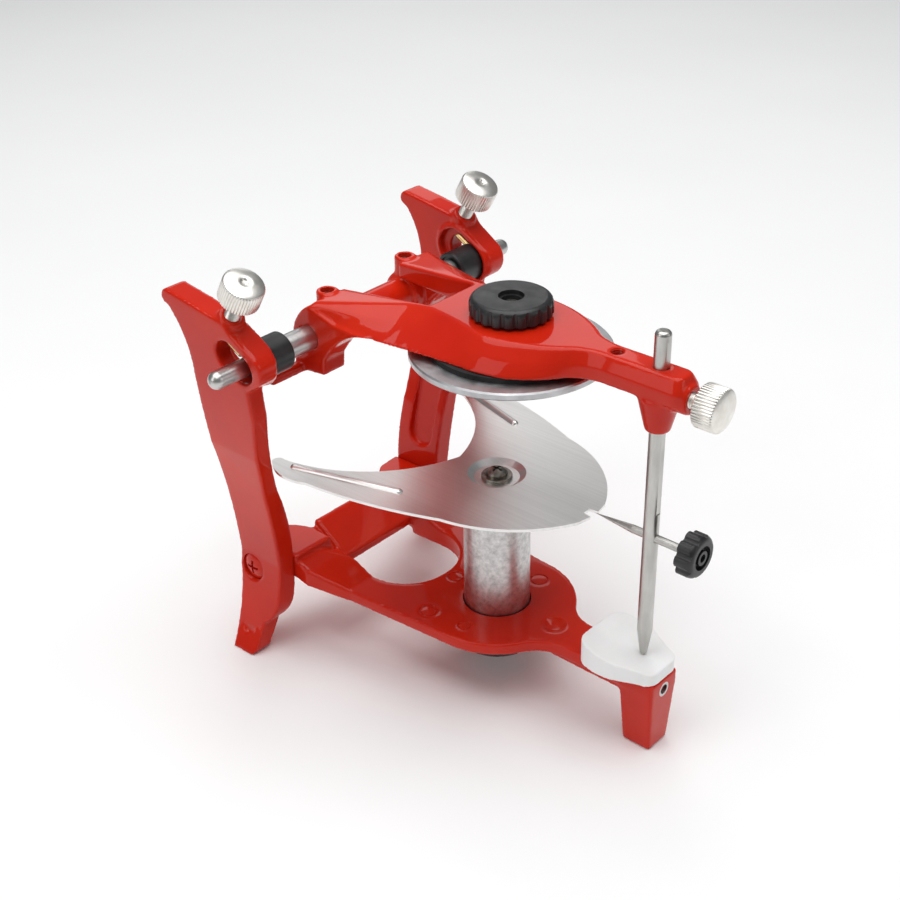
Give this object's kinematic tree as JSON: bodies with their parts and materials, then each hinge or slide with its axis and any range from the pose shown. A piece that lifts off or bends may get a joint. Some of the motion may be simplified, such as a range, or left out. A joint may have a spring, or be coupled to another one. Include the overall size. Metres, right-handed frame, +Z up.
{
  "type": "dental articulator",
  "caption": "Hinged dental articulator: base with two posts, sliding condylar shaft, upper arm with incisal pin, mounting disc and curved occlusal plate on a column.",
  "frame": {"origin": "floor level, under the middle of the whole object", "axes": "+Z up, -Y towards the incisal pin (front), +X to the object's right as seen from the front leg"},
  "size_m": [0.1416, 0.1733, 0.153],
  "materials": {
    "red_enamel": "gloss enamel",
    "black_plastic": "satin moulded",
    "black_rubber": "matt",
    "nickel_plate": "satin nickel, knurled",
    "turned_steel": "turned",
    "satin_steel": "satin",
    "sheet_steel": "bright rolled sheet",
    "dark_screw": "dark zinc",
    "brass": "machined",
    "grey_aluminium": "cast and turned",
    "cast_aluminium": "as cast, mottled",
    "white_plastic": "matt"
  },
  "bodies": {
    "lower_member": {"lower_frame": "red_enamel", "leg_thread_insert": "turned_steel", "incisal_table": "white_plastic", "column": "cast_aluminium", "column_stud": "dark_screw", "occlusal_plate": "sheet_steel", "plate_washer": "dark_screw", "plate_screw": "dark_screw", "left_condylar_post": "red_enamel", "right_condylar_post": "red_enamel", "left_post_screw": "red_enamel", "right_post_screw": "red_enamel"},
    "roller_pair": {"left_roller": "black_plastic", "right_roller": "black_plastic"},
    "upper_member": {"upper_frame": "red_enamel", "condylar_shaft": "turned_steel", "left_shaft_set_screw": "dark_screw", "right_shaft_set_screw": "dark_screw", "mounting_plate": "grey_aluminium", "mounting_spacer": "black_rubber", "mounting_stud": "dark_screw"},
    "column_washer": {"column_washer": "turned_steel"},
    "column_knob": {"column_knob": "black_plastic"},
    "mounting_washer": {"mounting_washer": "dark_screw"},
    "mounting_knob": {"mounting_knob": "black_plastic"},
    "incisal_pin": {"incisal_pin": "satin_steel"},
    "pointer": {"pointer_rod": "satin_steel", "pointer_knob": "black_plastic"},
    "front_clamp_tip": {"front_clamp_tip": "brass"},
    "front_clamp_screw": {"front_clamp_screw": "nickel_plate"},
    "left_plunger": {"left_return_plunger": "brass"},
    "left_lock_tip": {"left_lock_tip": "brass"},
    "left_lock_screw": {"left_lock_screw": "nickel_plate"},
    "right_plunger": {"right_return_plunger": "brass"},
    "right_lock_tip": {"right_lock_tip": "brass"},
    "right_lock_screw": {"right_lock_screw": "nickel_plate"}
  },
  "joints": [
    {"name": "condyle_slide", "type": "slide", "parent": "lower_member", "child": "roller_pair", "axis": [0, 0.866, 0.5], "range_m": [0, 0.008]},
    {"name": "opening", "type": "hinge", "parent": "roller_pair", "child": "upper_member", "pos_m": [0, 0.053, 0.1217], "axis": [-1, 0, 0], "range_deg": [0, 105]},
    {"name": "pin_height", "type": "slide", "parent": "upper_member", "child": "incisal_pin", "axis": [0, 0, 1], "range_m": [0, 0.02]},
    {"name": "pointer_slide", "type": "slide", "parent": "incisal_pin", "child": "pointer", "axis": [0, -1, 0], "range_m": [0, 0.012]},
    {"name": "left_plunger_slide", "type": "slide", "parent": "lower_member", "child": "left_plunger", "axis": [0, 0.866, 0.5], "range_m": [0, 0.008]},
    {"name": "left_lock_feed", "type": "slide", "parent": "lower_member", "child": "left_lock_tip", "axis": [0, -0.5, 0.866], "range_m": [0, 0.00301]},
    {"name": "left_lock_turn", "type": "hinge", "parent": "left_lock_tip", "child": "left_lock_screw", "pos_m": [-0.055, 0.05624, 0.14089], "axis": [0, -0.5, 0.866], "range_deg": [0, 1350]},
    {"name": "right_plunger_slide", "type": "slide", "parent": "lower_member", "child": "right_plunger", "axis": [0, 0.866, 0.5], "range_m": [0, 0.008]},
    {"name": "right_lock_feed", "type": "slide", "parent": "lower_member", "child": "right_lock_tip", "axis": [0, -0.5, 0.866], "range_m": [0, 0.00301]},
    {"name": "right_lock_turn", "type": "hinge", "parent": "right_lock_tip", "child": "right_lock_screw", "pos_m": [0.055, 0.05624, 0.14089], "axis": [0, -0.5, 0.866], "range_deg": [0, 1350]},
    {"name": "front_clamp_feed", "type": "slide", "parent": "upper_member", "child": "front_clamp_tip", "axis": [0, -1, 0], "range_m": [0, 0.00301]},
    {"name": "front_clamp_turn", "type": "hinge", "parent": "front_clamp_tip", "child": "front_clamp_screw", "pos_m": [0, -0.0776, 0.1302], "axis": [0, -1, 0], "range_deg": [0, 1350]},
    {"name": "mounting_knob_feed", "type": "slide", "parent": "upper_member", "child": "mounting_washer", "axis": [0, 0, 1], "range_m": [0, 0.00201]},
    {"name": "mounting_knob_turn", "type": "hinge", "parent": "mounting_washer", "child": "mounting_knob", "pos_m": [0, -0.0081, 0.14], "axis": [0, 0, 1], "range_deg": [0, 720]},
    {"name": "column_knob_feed", "type": "slide", "parent": "lower_member", "child": "column_washer", "axis": [0, 0, -1], "range_m": [0, 0.00301]},
    {"name": "column_knob_turn", "type": "hinge", "parent": "column_washer", "child": "column_knob", "pos_m": [0, -0.0022, 0.016], "axis": [0, 0, -1], "range_deg": [0, 1080]}
  ],
  "couplings": [
    {"joint": "left_plunger_slide", "follows": "condyle_slide", "ratio": 1},
    {"joint": "left_lock_feed", "follows": "left_lock_turn", "m_per_rad": 0.00012732},
    {"joint": "right_plunger_slide", "follows": "condyle_slide", "ratio": 1},
    {"joint": "right_lock_feed", "follows": "right_lock_turn", "m_per_rad": 0.00012732},
    {"joint": "front_clamp_feed", "follows": "front_clamp_turn", "m_per_rad": 0.00012732},
    {"joint": "mounting_knob_feed", "follows": "mounting_knob_turn", "m_per_rad": 0.00015915},
    {"joint": "column_knob_feed", "follows": "column_knob_turn", "m_per_rad": 0.00015915}
  ]
}
